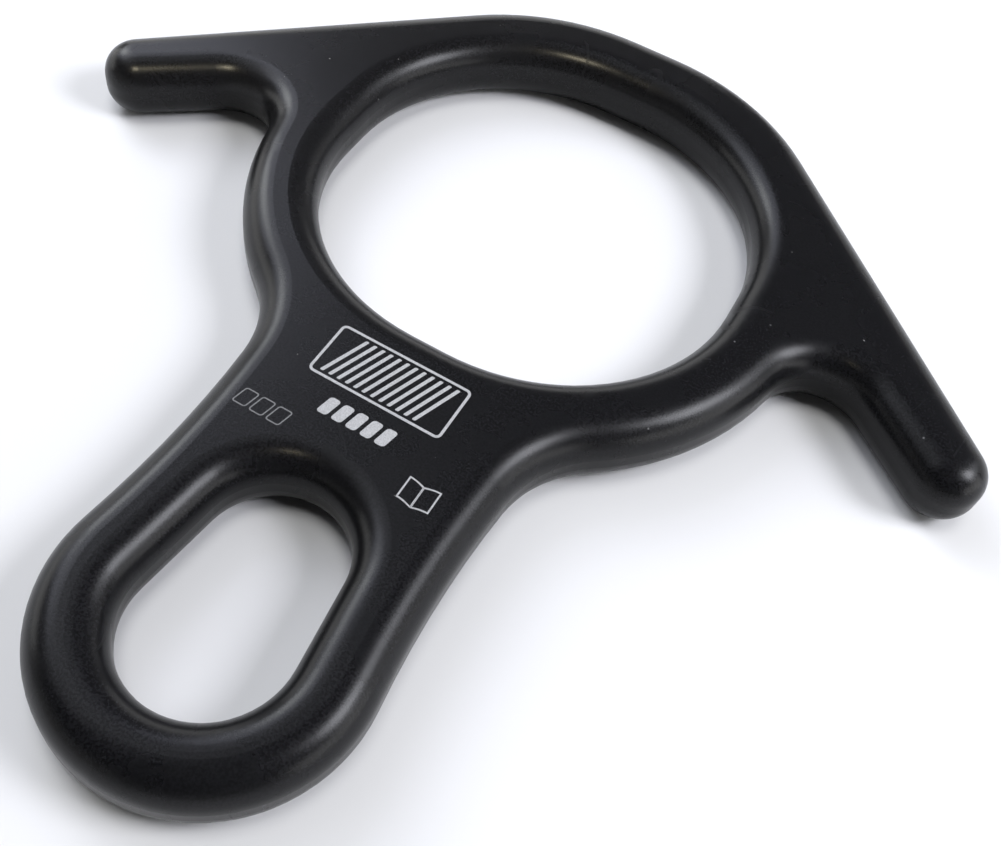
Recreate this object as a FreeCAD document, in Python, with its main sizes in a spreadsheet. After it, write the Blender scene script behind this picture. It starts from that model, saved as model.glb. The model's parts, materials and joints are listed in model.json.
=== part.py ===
"""Rescue-style rope descender: one thick aluminium plate with two ears, a ring opening and an eye.

Own frame: +Z through the plate, underside at z = 0, +Y along the length towards the ring end,
X from ear to ear, origin under the middle of the overall length and width. Millimetres.
"""
import FreeCAD
import Part
import math
import os
import Sketcher

NODE = "descender_body"

# Driving dimensions: alias, value, meaning. Lengths in mm, angles in degrees.
DIMENSIONS = [
    ("plate_thickness", 12.7, "thickness of the plate"),
    ("edge_radius", 5.3, "rounding of every edge of the plate"),
    ("ring_end_y", 86.45, "flat crest at the ring end"),
    ("crest_half_width", 4.5, "half the length of that flat crest"),
    ("shoulder_radius", 45.5, "from the crest round to the outer side of each ear"),
    ("ear_tip_x", 80.0, "centre of the round end of the ear"),
    ("ear_tip_y", 21.85, "centre of the round end of the ear"),
    ("ear_tip_radius", 6.4, "half the width of the ear"),
    ("ear_inner_angle", 140.0, "direction of the ear's inner side, from the tip to the crook"),
    ("crook_radius", 9.0, "hollow between the ear and the ring"),
    ("ring_outer_y", 32.85, "centre of the outside of the ring below the ears"),
    ("ring_outer_radius", 51.8, "outside of the ring below the ears"),
    ("neck_fillet_radius", 20.5, "hollow from the ring into the neck"),
    ("waist_radius", 171.0, "long hollow along the side of the neck"),
    ("waist_half_width", 23.4, "half the least width of the neck"),
    ("eye_outer_y", -61.55, "centre of the outside of the eye end"),
    ("eye_outer_radius", 24.9, "outside of the eye end"),
    ("opening_centre_y", 33.85, "centre of the ring opening"),
    ("opening_half_width", 38.1, "half the width of the ring opening"),
    ("opening_corner_radius", 35.0, "corner arcs of the ring opening"),
    ("slot_inner_y", -47.85, "centre of the end of the eye slot nearer the ring"),
    ("slot_inner_radius", 11.3, "radius of the eye slot nearer the ring"),
    ("slot_outer_y", -62.25, "centre of the outer end of the eye slot"),
    ("slot_outer_radius", 12.9, "radius of the outer end of the eye slot"),
]
SIZE = {name: value for name, value, _ in DIMENSIONS}
START, END, CENTRE = 1, 2, 3  # points of a sketch line or arc
AXES, ORIGIN_POINT, VERTICAL = -1, 1, -2


def unit(angle):
    """Direction at an angle in degrees."""
    return FreeCAD.Vector(math.cos(math.radians(angle)), math.sin(math.radians(angle)), 0)


def bearing(vector):
    """Angle of a direction in degrees."""
    return math.degrees(math.atan2(vector.y, vector.x))


def circle_meet(centre_a, radius_a, centre_b, radius_b):
    """The lower of the two points where two circles meet."""
    line = centre_b - centre_a
    gap = line.Length
    along = (radius_a ** 2 - radius_b ** 2 + gap ** 2) / (2 * gap)
    across = math.sqrt(radius_a ** 2 - along ** 2)
    ahead = line * (1 / gap)
    side = FreeCAD.Vector(-ahead.y, ahead.x, 0)
    points = [centre_a + ahead * along + side * across * sign for sign in (1, -1)]
    return min(points, key=lambda point: point.y)


def outline_half(d):
    """Pieces of the right half of the outline, clockwise from the middle of the crest.

    A piece is ("line", from, to), ("arc", centre, radius, first angle, last angle) where the side
    bulges, or ("hollow", ...) with the same items where the side is hollow and the centre lies
    outside the plate. The angles are those of the outward normal.
    """
    shoulder = FreeCAD.Vector(d["crest_half_width"], d["ring_end_y"] - d["shoulder_radius"], 0)
    tip = FreeCAD.Vector(d["ear_tip_x"], d["ear_tip_y"], 0)
    ring = FreeCAD.Vector(0, d["ring_outer_y"], 0)
    eye = FreeCAD.Vector(0, d["eye_outer_y"], 0)

    to_tip = tip - shoulder
    lean = math.acos((d["shoulder_radius"] - d["ear_tip_radius"]) / to_tip.Length)
    outer_normal = bearing(to_tip) + math.degrees(lean)
    inner_normal = d["ear_inner_angle"] - 270
    run = unit(d["ear_inner_angle"])
    inner_start = tip + unit(inner_normal) * d["ear_tip_radius"]
    # Centre of the crook: beside the inner side and outside the ring, reached along the side.
    beside = inner_start + unit(inner_normal) * d["crook_radius"] - ring
    back = beside.dot(run)
    reach = (d["ring_outer_radius"] + d["crook_radius"]) ** 2
    step = -back - math.sqrt(back ** 2 - beside.Length ** 2 + reach)
    crook = ring + beside + run * step
    inner_end = crook - unit(inner_normal) * d["crook_radius"]
    crook_end = bearing(crook - ring)

    waist_x = d["waist_half_width"] + d["waist_radius"]
    rise = math.sqrt((d["waist_radius"] + d["eye_outer_radius"]) ** 2 - waist_x ** 2)
    waist = FreeCAD.Vector(waist_x, d["eye_outer_y"] + rise, 0)
    neck = circle_meet(ring, d["ring_outer_radius"] + d["neck_fillet_radius"],
                       waist, d["waist_radius"] - d["neck_fillet_radius"])
    neck_start = bearing(neck - ring)
    neck_end = bearing(waist - neck)
    waist_end = bearing(waist - eye)

    crest = FreeCAD.Vector(0, d["ring_end_y"], 0)
    crest_end = FreeCAD.Vector(d["crest_half_width"], d["ring_end_y"], 0)
    outer_start = shoulder + unit(outer_normal) * d["shoulder_radius"]
    outer_end = tip + unit(outer_normal) * d["ear_tip_radius"]
    return [
        ("line", crest, crest_end),
        ("arc", shoulder, d["shoulder_radius"], 90, outer_normal),
        ("line", outer_start, outer_end),
        ("arc", tip, d["ear_tip_radius"], outer_normal, inner_normal),
        ("line", inner_start, inner_end),
        ("hollow", crook, d["crook_radius"], inner_normal, crook_end),
        ("arc", ring, d["ring_outer_radius"], crook_end, neck_start),
        ("hollow", neck, d["neck_fillet_radius"], neck_start, neck_end),
        ("hollow", waist, d["waist_radius"], neck_end, waist_end),
        ("arc", eye, d["eye_outer_radius"], waist_end, -90),
        ("line", eye + unit(-90) * d["eye_outer_radius"], crest),
    ]


def add_piece(sketch, piece):
    """Draw one piece and return its number and which end comes first on the path."""
    if piece[0] == "line":
        return sketch.addGeometry(Part.LineSegment(piece[1], piece[2]), False), START, END
    kind, centre, radius, first, last = piece
    circle = Part.Circle(centre, FreeCAD.Vector(0, 0, 1), radius)
    turn = 180 if kind == "hollow" else 0
    low, high = sorted((first, last))
    arc = Part.ArcOfCircle(circle, math.radians(low + turn), math.radians(high + turn))
    number = sketch.addGeometry(arc, False)
    return (number, START, END) if first < last else (number, END, START)


def drive(sketch, name, expression, kind, *where):
    """Add a dimension and bind it to the sheet."""
    number = sketch.addConstraint(Sketcher.Constraint(kind, *where))
    sketch.renameConstraint(number, name)
    sketch.setExpression("Constraints." + name, expression)


def new_sketch(body, name):
    sketch = body.newObject("Sketcher::SketchObject", name)
    plane = next(f for f in body.Origin.OriginFeatures if f.Role == "XY_Plane")
    sketch.AttachmentSupport = [(plane, "")]
    sketch.MapMode = "FlatFace"
    return sketch


def draw_outline(body):
    """Right half of the plate, closed along the middle line."""
    sketch = new_sketch(body, "outline_sketch")
    pieces = outline_half(SIZE)
    placed = [add_piece(sketch, piece) for piece in pieces]
    crest, shoulder, _, tip, inner, crook, ring, neck, waist, eye, middle = [p[0] for p in placed]
    for (one, _, out), (other, into, _) in zip(placed[:-2], placed[1:-1]):
        sketch.addConstraint(Sketcher.Constraint("Tangent", one, out, other, into))
    sketch.addConstraint(Sketcher.Constraint("Coincident", eye, placed[-2][2], middle, START))
    sketch.addConstraint(Sketcher.Constraint("Coincident", middle, END, crest, START))
    sketch.addConstraint(Sketcher.Constraint("PointOnObject", middle, START, VERTICAL))
    sketch.addConstraint(Sketcher.Constraint("PointOnObject", middle, END, VERTICAL))
    sketch.addConstraint(Sketcher.Constraint("PointOnObject", eye, CENTRE, VERTICAL))
    sketch.addConstraint(Sketcher.Constraint("PointOnObject", ring, CENTRE, VERTICAL))
    sketch.addConstraint(Sketcher.Constraint("Horizontal", crest))

    def place(name, kind, number, point, expression, value):
        drive(sketch, name, expression, kind, AXES, ORIGIN_POINT, number, point, value)

    d = SIZE
    place("ring_end_y", "DistanceY", crest, START, "Dimensions.ring_end_y", d["ring_end_y"])
    place("crest_half_width", "DistanceX", crest, END, "Dimensions.crest_half_width",
          d["crest_half_width"])
    place("ear_tip_x", "DistanceX", tip, CENTRE, "Dimensions.ear_tip_x", d["ear_tip_x"])
    place("ear_tip_y", "DistanceY", tip, CENTRE, "Dimensions.ear_tip_y", d["ear_tip_y"])
    place("ring_outer_y", "DistanceY", ring, CENTRE, "Dimensions.ring_outer_y", d["ring_outer_y"])
    place("waist_centre_x", "DistanceX", waist, CENTRE,
          "Dimensions.waist_half_width + Dimensions.waist_radius",
          d["waist_half_width"] + d["waist_radius"])
    place("eye_outer_y", "DistanceY", eye, CENTRE, "Dimensions.eye_outer_y", d["eye_outer_y"])
    for name, number in (("shoulder_radius", shoulder), ("ear_tip_radius", tip),
                         ("crook_radius", crook), ("ring_outer_radius", ring),
                         ("neck_fillet_radius", neck), ("waist_radius", waist),
                         ("eye_outer_radius", eye)):
        drive(sketch, name, "Dimensions." + name, "Radius", number, d[name])
    drive(sketch, "ear_inner_angle", "Dimensions.ear_inner_angle * 1 deg", "Angle", inner,
          math.radians(d["ear_inner_angle"]))
    return sketch


def draw_closed(sketch, pieces):
    """Draw a closed chain of tangent pieces and return their numbers."""
    placed = [add_piece(sketch, piece) for piece in pieces]
    for (one, _, out), (other, into, _) in zip(placed, placed[1:] + placed[:1]):
        sketch.addConstraint(Sketcher.Constraint("Tangent", one, out, other, into))
    return [p[0] for p in placed]


def draw_ring_opening(body):
    """Square opening with very large corners."""
    sketch = new_sketch(body, "ring_opening_sketch")
    half, radius = SIZE["opening_half_width"], SIZE["opening_corner_radius"]
    middle = FreeCAD.Vector(0, SIZE["opening_centre_y"], 0)
    offset = half - radius
    pieces = []
    for quarter in range(4):
        angle = 90 * quarter
        side, ahead = unit(angle), unit(angle + 90)
        pieces.append(("line", middle + side * half - ahead * offset,
                       middle + side * half + ahead * offset))
        pieces.append(("arc", middle + side * offset + ahead * offset, radius, angle, angle + 90))
    right, corner, top, corner_b, left, corner_c, bottom, corner_d = draw_closed(sketch, pieces)
    for number in (right, left):
        sketch.addConstraint(Sketcher.Constraint("Vertical", number))
    for number in (top, bottom):
        sketch.addConstraint(Sketcher.Constraint("Horizontal", number))
    for number in (corner_b, corner_c, corner_d):
        sketch.addConstraint(Sketcher.Constraint("Equal", corner, number))
    drive(sketch, "corner_radius", "Dimensions.opening_corner_radius", "Radius", corner, radius)
    centre, width = "Dimensions.opening_centre_y", "Dimensions.opening_half_width"
    for name, kind, number, expression, value in (
            ("right_x", "DistanceX", right, width, half),
            ("left_x", "DistanceX", left, "-" + width, -half),
            ("top_y", "DistanceY", top, centre + " + " + width, middle.y + half),
            ("bottom_y", "DistanceY", bottom, centre + " - " + width, middle.y - half)):
        drive(sketch, name, expression, kind, AXES, ORIGIN_POINT, number, START, value)
    return sketch


def draw_eye_slot(body):
    """Slot of two round ends, the outer one a little wider, joined by tangent sides."""
    sketch = new_sketch(body, "eye_slot_sketch")
    inner = FreeCAD.Vector(0, SIZE["slot_inner_y"], 0)
    outer = FreeCAD.Vector(0, SIZE["slot_outer_y"], 0)
    small, large = SIZE["slot_inner_radius"], SIZE["slot_outer_radius"]
    lean = math.degrees(math.asin((large - small) / (inner.y - outer.y)))
    left, right = unit(180 - lean), unit(lean)
    pieces = [
        ("arc", inner, small, lean, 180 - lean),
        ("line", inner + left * small, outer + left * large),
        ("arc", outer, large, 180 - lean, 360 + lean),
        ("line", outer + right * large, inner + right * small),
    ]
    near, _, far, _ = draw_closed(sketch, pieces)
    for name, number, value in (("slot_inner", near, inner.y), ("slot_outer", far, outer.y)):
        sketch.addConstraint(Sketcher.Constraint("PointOnObject", number, CENTRE, VERTICAL))
        drive(sketch, name + "_y", "Dimensions." + name + "_y", "DistanceY",
              AXES, ORIGIN_POINT, number, CENTRE, value)
        drive(sketch, name + "_radius", "Dimensions." + name + "_radius", "Radius", number,
              SIZE[name + "_radius"])
    return sketch


def cut_through(doc, body, sketch, name):
    """Pocket right through the plate, towards the side that removes material."""
    before = body.Shape.Volume
    pocket = body.newObject("PartDesign::Pocket", name)
    pocket.Profile = sketch
    pocket.Type = "ThroughAll"
    for turned in (True, False):
        pocket.Reversed = turned
        doc.recompute()
        if "Invalid" not in pocket.State and body.Shape.Volume < before - 1:
            break
    else:
        raise RuntimeError(name + " removes nothing")
    sketch.Visibility = False
    return pocket


def face_edges(shape, levels):
    """Names of the edges that lie flat at the given heights."""
    names = []
    for number, edge in enumerate(shape.Edges, 1):
        box = edge.BoundBox
        if any(abs(box.ZMin - z) < 1e-4 and abs(box.ZMax - z) < 1e-4 for z in levels):
            names.append("Edge%d" % number)
    return names


def build():
    os.makedirs("parts", exist_ok=True)
    doc = FreeCAD.newDocument("descender")
    sheet = doc.addObject("Spreadsheet::Sheet", "Dimensions")
    for row, (name, value, meaning) in enumerate(DIMENSIONS, 1):
        sheet.set("A%d" % row, name)
        sheet.set("B%d" % row, str(value))
        sheet.setAlias("B%d" % row, name)
        sheet.set("C%d" % row, meaning)
    body = doc.addObject("PartDesign::Body", NODE)
    body.Label = NODE
    doc.recompute()

    outline = draw_outline(body)
    doc.recompute()
    half = body.newObject("PartDesign::Pad", "half_plate")
    half.Profile = outline
    half.setExpression("Length", "Dimensions.plate_thickness")
    doc.recompute()

    whole = body.newObject("PartDesign::Mirrored", "whole_plate")
    whole.Originals = [half]
    middle = next(f for f in body.Origin.OriginFeatures if f.Role == "YZ_Plane")
    whole.MirrorPlane = (middle, [""])
    whole.Refine = True
    body.Tip = whole
    doc.recompute()

    opening = draw_ring_opening(body)
    doc.recompute()
    cut_through(doc, body, opening, "ring_opening")
    slot = draw_eye_slot(body)
    doc.recompute()
    last = cut_through(doc, body, slot, "eye_slot")

    rounding = body.newObject("PartDesign::Fillet", "edge_rounding")
    rounding.Base = (last, face_edges(last.Shape, (0, SIZE["plate_thickness"])))
    rounding.setExpression("Radius", "Dimensions.edge_radius")
    doc.recompute()

    check(doc, body)
    body.Shape.exportStep("parts/" + NODE + ".step")


def check(doc, body):
    """Stop if any feature failed or any sketch is not fully held."""
    for item in doc.Objects:
        if {"Invalid", "Error"} & set(item.State):
            raise RuntimeError(item.Name + " did not build: " + ", ".join(item.State))
        if item.isDerivedFrom("Sketcher::SketchObject"):
            if item.solve() != 0 or not item.FullyConstrained:
                raise RuntimeError(item.Name + " is not fully held")
        shape = getattr(item, "Shape", None)
        if shape is not None and item.isDerivedFrom("PartDesign::Feature"):
            if shape.isNull() or not shape.isValid():
                raise RuntimeError(item.Name + " has a bad shape")
    if len(body.Shape.Solids) != 1:
        raise RuntimeError("the plate is not one solid")
    box = body.Shape.optimalBoundingBox()
    print("x %.2f..%.2f  y %.2f..%.2f  z %.2f..%.2f" % (
        box.XMin, box.XMax, box.YMin, box.YMax, box.ZMin, box.ZMax))
    print("volume %.0f mm3, %d faces" % (body.Shape.Volume, len(body.Shape.Faces)))


build()
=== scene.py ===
"""Looks for the rope descender: a one-piece black anodised plate with laser marks, on a pale floor."""

import json
import math

import bmesh
import bpy
from mathutils import Matrix, Vector


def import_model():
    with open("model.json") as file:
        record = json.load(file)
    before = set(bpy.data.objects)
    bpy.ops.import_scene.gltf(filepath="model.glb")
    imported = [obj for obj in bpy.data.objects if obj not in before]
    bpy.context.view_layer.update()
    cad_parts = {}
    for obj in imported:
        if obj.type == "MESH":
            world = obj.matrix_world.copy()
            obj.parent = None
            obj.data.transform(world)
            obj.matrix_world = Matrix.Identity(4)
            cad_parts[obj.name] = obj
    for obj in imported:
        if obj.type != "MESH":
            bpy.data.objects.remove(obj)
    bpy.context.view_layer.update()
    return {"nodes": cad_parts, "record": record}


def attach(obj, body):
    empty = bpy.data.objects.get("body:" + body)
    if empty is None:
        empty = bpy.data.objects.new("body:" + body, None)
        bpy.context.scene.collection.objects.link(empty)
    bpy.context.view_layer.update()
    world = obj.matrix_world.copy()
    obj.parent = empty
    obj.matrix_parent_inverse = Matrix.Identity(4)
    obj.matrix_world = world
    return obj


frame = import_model()

MM = 0.001
PLATE = frame["nodes"]["descender_body"]
MOUNTS = {mount["name"]: mount for mount in frame["record"]["mounts"]}
MARKED_FACE = Vector(MOUNTS["marked_face"]["pos_m"])  # a point on the middle of the neck's upper face

# Laser marks: sizes in mm, x and y from the marked_face mount
MARK_LIFT = 0.02     # top of a mark above the face
MARK_SINK = 0.01     # bottom of a mark below the face
DEEP_TONE = 0.50     # albedo of a full laser pass
FAINT_TONE = 0.22    # albedo of a light pass
CORNER_STEPS = 6     # segments in a quarter of a rounded corner
BAR_CORNER = 0.3     # corner of a bar, as a share of its narrow side
PANEL = dict(x=-0.5, y=3.8, width=23.5, height=10.5, corner=1.0, line=0.45,
             pitch=1.5, bar_width=0.62, margin=0.5, slope=0.35)
TALLY = dict(x=-0.5, y=-5.5, width=12.6, height=3.4, count=5, fill=0.72, slope=0.2)
LINKS = dict(x=-13.6, y=-11.1, width=9.0, height=3.2, count=3, fill=0.82, corner=0.5, line=0.2, slope=0.2)
BOOK = dict(x=13.7, y=-11.4, width=5.4, height=4.6, line=0.26, fold=0.02, rise=0.5, steps=8)

# Studio: distances in metres, angles in degrees, azimuth 0 is +X and 90 is +Y
STUDIO_RADIUS = 0.8              # from the origin to every softbox and lamp
FLOOR_HALF = 3.0
CAMERA_PLACE = (0.048416, -0.111667, 0.157965)
CAMERA_TARGET = (0.004872, -0.006742, 0.00635)
CAMERA_ROLL = 9.734
CAMERA_LENS = 42.415             # mm
CAMERA_SENSOR = 36               # mm
CAMERA_SHIFT = (0.0532, -0.0432)


# ---------------------------------------------------------------- node helpers

def new_material(name):
    material = bpy.data.materials.new(name)
    material.use_nodes = True
    tree = material.node_tree
    shader = tree.nodes["Principled BSDF"]
    return material, tree, shader


def add(tree, kind, **settings):
    node = tree.nodes.new(kind)
    for key, value in settings.items():
        setattr(node, key, value)
    return node


def noise(tree, scale, detail):
    """Solid noise in object space, with scale in features per metre."""
    coordinates = add(tree, "ShaderNodeTexCoord")
    texture = add(tree, "ShaderNodeTexNoise")
    texture.inputs["Scale"].default_value = scale
    texture.inputs["Detail"].default_value = detail
    texture.inputs["Roughness"].default_value = 0.55
    tree.links.new(coordinates.outputs["Object"], texture.inputs["Vector"])
    return texture.outputs["Fac"]


def specks(tree, density, size):
    """Mask of sparse round specks; density is cells per metre, size a share of one cell."""
    coordinates = add(tree, "ShaderNodeTexCoord")
    cells = add(tree, "ShaderNodeTexVoronoi")
    cells.inputs["Scale"].default_value = density
    tree.links.new(coordinates.outputs["Object"], cells.inputs["Vector"])
    near = add(tree, "ShaderNodeMath", operation="LESS_THAN")
    tree.links.new(cells.outputs["Distance"], near.inputs[0])
    near.inputs[1].default_value = size
    return near.outputs["Value"]


def hairlines(tree, scale, width):
    """Mask of thin wandering lines: a narrow band of a slow noise, kept only in patches."""
    band = add(tree, "ShaderNodeMath", operation="COMPARE")
    tree.links.new(noise(tree, scale, 1), band.inputs[0])
    band.inputs[1].default_value = 0.5
    band.inputs[2].default_value = width
    patch = ramp(tree, noise(tree, scale * 2.7, 2), [(0.50, 0.0), (0.60, 1.0)])
    both = add(tree, "ShaderNodeMath", operation="MULTIPLY")
    tree.links.new(band.outputs["Value"], both.inputs[0])
    tree.links.new(patch, both.inputs[1])
    return both.outputs["Value"]


def ramp(tree, factor, stops):
    """Colour ramp over a factor; stops are (position, grey or RGB)."""
    node = add(tree, "ShaderNodeValToRGB")
    tree.links.new(factor, node.inputs["Fac"])
    elements = node.color_ramp.elements
    while len(elements) < len(stops):
        elements.new(0.5)
    for element, (position, tone) in zip(elements, stops):
        rgb = (tone,) * 3 if isinstance(tone, (int, float)) else tone
        element.position = position
        element.color = (*rgb, 1)
    return node.outputs["Color"]


def masked(tree, mask, base, grey):
    """The base colour, with a grey laid over it where the mask is 1."""
    mix = add(tree, "ShaderNodeMix", data_type="RGBA")
    tree.links.new(mask, mix.inputs["Factor"])
    tree.links.new(base, mix.inputs["A"])
    mix.inputs["B"].default_value = (grey, grey, grey, 1)
    return mix.outputs["Result"]


def bump(tree, shader, layers):
    """Chain of bumps; layers are (height socket, depth in metres)."""
    normal = None
    for height, depth in layers:
        node = add(tree, "ShaderNodeBump")
        node.inputs["Strength"].default_value = 1.0
        node.inputs["Distance"].default_value = depth
        tree.links.new(height, node.inputs["Height"])
        if normal:
            tree.links.new(normal, node.inputs["Normal"])
        normal = node.outputs["Normal"]
    tree.links.new(normal, shader.inputs["Normal"])


# ---------------------------------------------------------------- materials

def anodised_material():
    """Black hard-anodised aluminium: blasted grain, faint hairline scuffs and a few specks of dust."""
    material, tree, shader = new_material("black_anodised")
    grain = noise(tree, 4200, 3)
    mottle = noise(tree, 2600, 1)
    cloud = noise(tree, 70, 5)
    scuffs = hairlines(tree, 45, 0.006)
    black = ramp(tree, mottle, [(0.35, (0.0034, 0.0034, 0.0038)), (0.65, (0.0080, 0.0080, 0.0089))])
    dusty = masked(tree, specks(tree, 190, 0.03), black, 0.12)
    satin = ramp(tree, cloud, [(0.3, 0.25), (0.7, 0.29)])
    worn = masked(tree, scuffs, satin, 0.34)
    tree.links.new(dusty, shader.inputs["Base Color"])
    tree.links.new(worn, shader.inputs["Roughness"])
    shader.inputs["Specular IOR Level"].default_value = 0.2
    bump(tree, shader, [(grain, 0.000006), (mottle, 0.000004), (scuffs, 0.000001)])
    return material


def mark_material(name, tone):
    """Pale oxide left where the laser has bleached the black layer; a light pass leaves a darker tone."""
    material, tree, shader = new_material(name)
    grain = noise(tree, 5000, 2)
    oxide = ramp(tree, grain, [(0.35, tone * 0.85), (0.65, tone * 1.15)])
    tree.links.new(oxide, shader.inputs["Base Color"])
    shader.inputs["Roughness"].default_value = 0.6
    shader.inputs["Specular IOR Level"].default_value = 0.3
    bump(tree, shader, [(grain, 0.00001)])
    return material


# ---------------------------------------------------------------- shapes of the laser marks

def neighbours(count):
    """Index pairs of the edges of a closed loop."""
    return [(i, (i + 1) % count) for i in range(count)]


def on_face(point, height):
    """A mark's point in metres, from its place on the marked face and a height above it in mm."""
    return MARKED_FACE + MM * Vector((*point, height))


def prism(mesh, loops):
    """Closed thin solid over a polygon, or over the band between an outer and an inner loop."""
    rings = []
    for loop in loops:
        low = [mesh.verts.new(on_face(point, -MARK_SINK)) for point in loop]
        high = [mesh.verts.new(on_face(point, MARK_LIFT)) for point in loop]
        rings.append((low, high))
    for number, (low, high) in enumerate(rings):
        for i, j in neighbours(len(low)):
            side = (low[i], low[j], high[j], high[i])
            mesh.faces.new(side if number == 0 else side[::-1])
    if len(rings) == 1:
        mesh.faces.new(rings[0][1])
        mesh.faces.new(rings[0][0][::-1])
        return
    (low_out, high_out), (low_in, high_in) = rings
    for i, j in neighbours(len(low_out)):
        mesh.faces.new((high_out[i], high_out[j], high_in[j], high_in[i]))
        mesh.faces.new((low_out[j], low_out[i], low_in[i], low_in[j]))


def rounded_box(x, y, width, height, corner):
    """Counter-clockwise outline of a rounded rectangle."""
    points = []
    for quarter in range(4):
        right = 1 if quarter in (0, 3) else -1
        up = 1 if quarter < 2 else -1
        for step in range(CORNER_STEPS + 1):
            angle = math.radians(90 * (quarter + step / CORNER_STEPS))
            points.append((x + right * (width / 2 - corner) + corner * math.cos(angle),
                           y + up * (height / 2 - corner) + corner * math.sin(angle)))
    return points


def lean(points, y, slope):
    """Shear points sideways about a height."""
    return [(px + slope * (py - y), py) for px, py in points]


def frame_mark(mesh, x, y, width, height, corner, line, slope=0.0):
    """Rounded frame of one line width, measured over its outside."""
    outer = rounded_box(x, y, width, height, corner)
    inner = rounded_box(x, y, width - 2 * line, height - 2 * line, corner - line)
    prism(mesh, [lean(outer, y, slope), lean(inner, y, slope)])


def bar_mark(mesh, x, y, width, height, slope):
    """Solid bar with small rounded corners."""
    bar = rounded_box(x, y, width, height, min(width, height) * BAR_CORNER)
    prism(mesh, [lean(bar, y, slope)])


def row(x, count, pitch):
    """Middles of a row of equal cells centred on x."""
    return [x + (number - (count - 1) / 2) * pitch for number in range(count)]


def draw_panel(mesh, x, y, width, height, corner, line, pitch, bar_width, margin, slope):
    """A frame filled with slanted hatching."""
    frame_mark(mesh, x, y, width, height, corner, line)
    inside = width - 2 * (line + margin)
    bar_height = height - 2 * (line + margin)
    count = int((inside - bar_height * slope) / pitch)
    for middle in row(x, count, pitch):
        bar_mark(mesh, middle, y, bar_width, bar_height, slope)


def draw_tally(mesh, x, y, width, height, count, fill, slope):
    """A row of short solid bars."""
    pitch = width / count
    for middle in row(x, count, pitch):
        bar_mark(mesh, middle, y, pitch * fill, height, slope)


def draw_links(mesh, x, y, width, height, count, fill, corner, line, slope):
    """A row of outlined boxes."""
    pitch = width / count
    for middle in row(x, count, pitch):
        frame_mark(mesh, middle, y, pitch * fill, height, corner, line, slope)


def draw_book(mesh, x, y, width, height, line, fold, rise, steps):
    """Outline of an open, empty book: two pages that swell away from the fold."""
    for side in (-1, 1):
        loops = []
        for inset in (0.0, line):
            near, far = fold + inset * 0.5, width / 2 - inset
            across = [near + (far - near) * i / steps for i in range(steps + 1)]
            swell = [rise * math.sin(math.pi / 2 * i / steps) for i in range(steps + 1)]
            bottom = [(a, -height / 2 + s + inset) for a, s in zip(across, swell)]
            top = [(a, height / 2 - rise + s - inset) for a, s in zip(across, swell)]
            loop = [(x + side * px, y + py) for px, py in bottom + top[::-1]]
            loops.append(loop if side > 0 else loop[::-1])
        prism(mesh, loops)


def laser_marks():
    """The four groups of marks on the neck, each a piece of its own."""
    deep = mark_material("laser_mark", DEEP_TONE)
    faint = mark_material("laser_mark_faint", FAINT_TONE)
    for name, draw, sizes, material in (("panel_mark", draw_panel, PANEL, deep),
                                        ("tally_mark", draw_tally, TALLY, deep),
                                        ("link_mark", draw_links, LINKS, faint),
                                        ("book_mark", draw_book, BOOK, deep)):
        mesh = bmesh.new()
        draw(mesh, **sizes)
        data = bpy.data.meshes.new(name)
        mesh.to_mesh(data)
        mesh.free()
        data.materials.append(material)
        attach(place(name, data), "root")


# ---------------------------------------------------------------- stage

def place(name, data):
    """A new object in the scene."""
    thing = bpy.data.objects.new(name, data)
    bpy.context.scene.collection.objects.link(thing)
    return thing


def floor():
    """Pale sheet with a light of its own from straight above, so its far parts stay pale too."""
    material, _, shader = new_material("floor")
    shader.inputs["Base Color"].default_value = (0.78, 0.78, 0.78, 1)
    shader.inputs["Roughness"].default_value = 0.9
    corners = [(x * FLOOR_HALF, y * FLOOR_HALF, 0) for x, y in ((-1, -1), (1, -1), (1, 1), (-1, 1))]
    mesh = bpy.data.meshes.new("floor")
    mesh.from_pydata(corners, [], [(0, 1, 2, 3)])
    mesh.materials.append(material)
    sheet = place("floor", mesh)
    data = bpy.data.lights.new("floor_fill", "SUN")
    data.energy = 0.9
    data.angle = 0.4
    light_only(place("floor_fill", data), sheet)


def light_only(light, piece):
    """Let a light reach one piece and nothing else."""
    lit = bpy.data.collections.new(light.name + "_lit")
    lit.objects.link(piece)
    light.light_linking.receiver_collection = lit


def world(horizon, sky):
    """Pale near the horizon, like the far end of the sheet, and dim above it."""
    scene_world = bpy.data.worlds.new("studio")
    scene_world.use_nodes = True
    tree = scene_world.node_tree
    direction = add(tree, "ShaderNodeTexCoord")
    split = add(tree, "ShaderNodeSeparateXYZ")
    tree.links.new(direction.outputs["Generated"], split.inputs["Vector"])
    tone = ramp(tree, split.outputs["Z"], [(0.0, horizon), (0.1, horizon), (0.3, sky)])
    tree.links.new(tone, tree.nodes["Background"].inputs["Color"])
    bpy.context.scene.world = scene_world


def aim(thing, position, target, roll=0.0):
    """Put a camera or lamp at a position, looking at a target."""
    turn = (Vector(target) - Vector(position)).to_track_quat("-Z", "Y").to_matrix().to_4x4()
    thing.matrix_world = Matrix.Translation(position) @ turn @ Matrix.Rotation(math.radians(roll), 4, "Z")


def put_light(name, data, azimuth, elevation, target):
    """Place a light STUDIO_RADIUS from the origin, aimed at a target."""
    around, up = math.radians(azimuth), math.radians(elevation)
    away = Vector((math.cos(up) * math.cos(around), math.cos(up) * math.sin(around), math.sin(up)))
    thing = place(name, data)
    aim(thing, away * STUDIO_RADIUS, target)
    return thing


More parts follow.
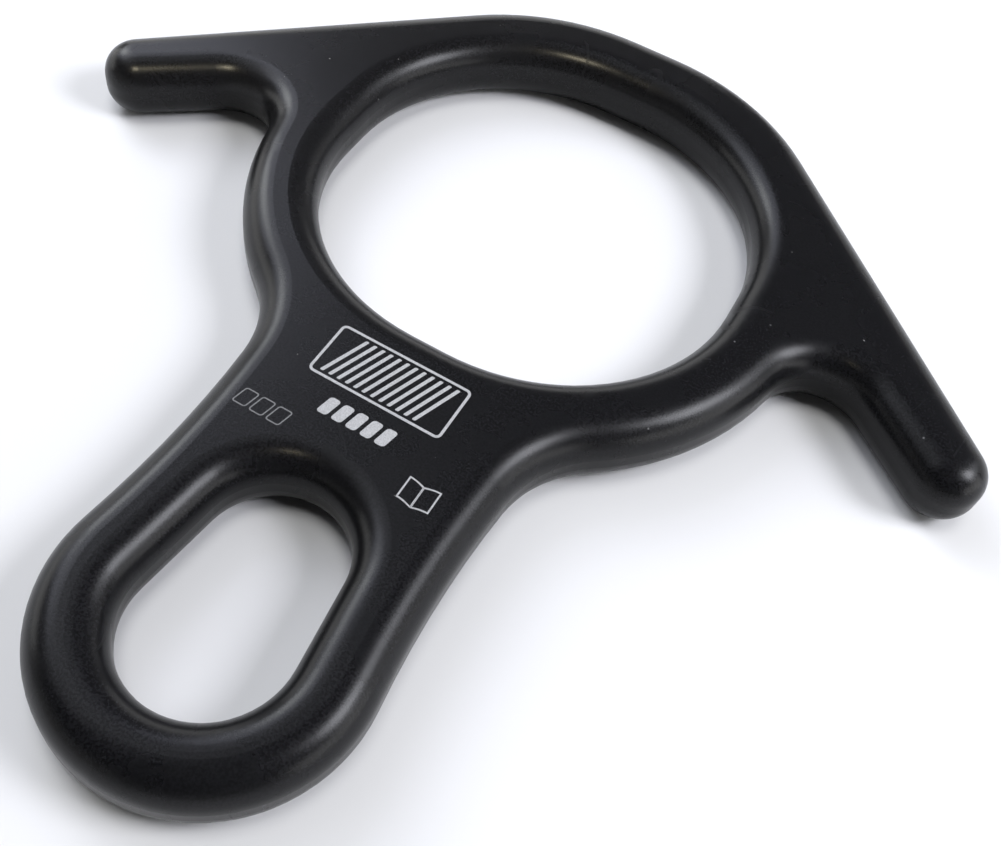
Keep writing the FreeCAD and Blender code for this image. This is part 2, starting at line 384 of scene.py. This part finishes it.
def softbox(name, azimuth, elevation, width, height, radiance, tint=(1, 1, 1)):
    """Soft rectangular light that faces the origin and looks equally bright whatever its size."""
    data = bpy.data.lights.new(name, "AREA")
    data.shape = "RECTANGLE"
    data.size, data.size_y = width, height
    data.energy = math.pi * width * height * radiance
    data.color = tint
    put_light(name, data, azimuth, elevation, (0, 0, 0))


def spotlight(name, azimuth, elevation, target, cone, radius, power, tint):
    """Small lamp whose cone fades from its middle to its rim."""
    data = bpy.data.lights.new(name, "SPOT")
    data.spot_size = math.radians(cone)
    data.spot_blend = 1.0
    data.shadow_soft_size = radius
    data.energy = power
    data.color = tint
    return put_light(name, data, azimuth, elevation, target)


def lights():
    """A photo tent: a cool softbox each side with a brighter middle, low walls, and a small warm lamp."""
    softbox("right_softbox", 25, 36, 0.60, 0.35, 2.6, (0.92, 0.94, 1.0))
    softbox("right_core", 14, 45, 0.28, 0.28, 15.5, (0.92, 0.93, 1.0))
    softbox("left_softbox", 155, 40, 0.60, 0.45, 3.6, (0.82, 0.85, 1.0))
    softbox("left_core", 157, 34, 0.22, 0.22, 7.2, (0.97, 1.0, 0.97))
    softbox("left_top", 150, 70, 0.45, 0.25, 0.9, (0.90, 0.94, 1.0))
    softbox("left_high", 185, 55, 0.50, 0.40, 0.9, (0.92, 0.95, 1.0))
    for azimuth, radiance in ((0, 2.5), (60, 0.7), (120, 1.7), (180, 2.1), (240, 0.3)):
        softbox("low_wall_%d" % azimuth, azimuth, 12, 0.70, 0.30, radiance)
    left_of_ring = (-0.085, 0.085, 0.006)
    warm = spotlight("warm_lamp", 273, 66, left_of_ring, 20, 0.05, 11.0, (1.0, 0.90, 0.66))
    light_only(warm, PLATE)


def camera():
    data = bpy.data.cameras.new("camera")
    data.lens = CAMERA_LENS
    data.sensor_width = CAMERA_SENSOR
    data.shift_x, data.shift_y = CAMERA_SHIFT
    data.clip_start = 0.01
    thing = place("camera", data)
    aim(thing, CAMERA_PLACE, CAMERA_TARGET, CAMERA_ROLL)
    bpy.context.scene.camera = thing


# ---------------------------------------------------------------- build

black_anodised = anodised_material()
for slot in PLATE.material_slots:
    slot.material = black_anodised
laser_marks()
floor()
world(horizon=0.30, sky=0.03)
lights()
camera()
bpy.context.scene.view_settings.view_transform = "Standard"
